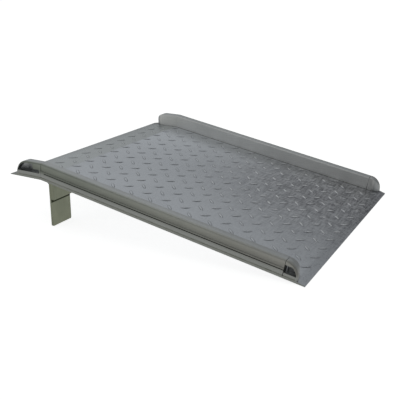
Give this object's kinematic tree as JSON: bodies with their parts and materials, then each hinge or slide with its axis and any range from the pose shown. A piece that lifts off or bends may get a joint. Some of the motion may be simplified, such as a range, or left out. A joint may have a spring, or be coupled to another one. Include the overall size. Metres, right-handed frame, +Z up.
{
  "type": "dock board",
  "caption": "Aluminium dock board: a bent tread plate that bridges a dock and a truck, with curbed sides, rounded curb ends and locking legs under its lip.",
  "frame": {"origin": "on the floor, under the middle of the whole board's box, with the board standing on its legs and its low edge", "axes": "+X down the slope from the lip to the low edge, +Y to the right-hand side as seen by someone on the lip looking down the slope, +Z up"},
  "size_m": [1.7874, 1.524, 0.3576],
  "materials": {
    "deck": "mill-finish rolled tread plate, blue-grey, semi-bright",
    "curb": "mill-finish channel, grey-green in the light it stands in, satin",
    "legs": "mill-finish flat bar, olive grey, dull satin",
    "weld": "as-welded aluminium bead, lightly rippled"
  },
  "bodies": {
    "root": {"cross_bar": "legs", "curb_lip_left": "curb", "curb_lip_right": "curb", "curb_low_end_left": "curb", "curb_low_end_right": "curb", "curb_main_left": "curb", "curb_main_right": "curb", "deck_plate": "deck", "leg_left": "legs", "leg_right": "legs", "weld_bar_back": "weld", "weld_bar_front": "weld", "weld_curb_lip_left": "weld", "weld_curb_lip_right": "weld", "weld_curb_low_left": "weld", "weld_curb_low_right": "weld", "weld_curb_main_left": "weld", "weld_curb_main_right": "weld", "weld_leg_back_left": "weld", "weld_leg_back_right": "weld", "weld_leg_side_left": "weld", "weld_leg_side_right": "weld"}
  },
  "joints": []
}
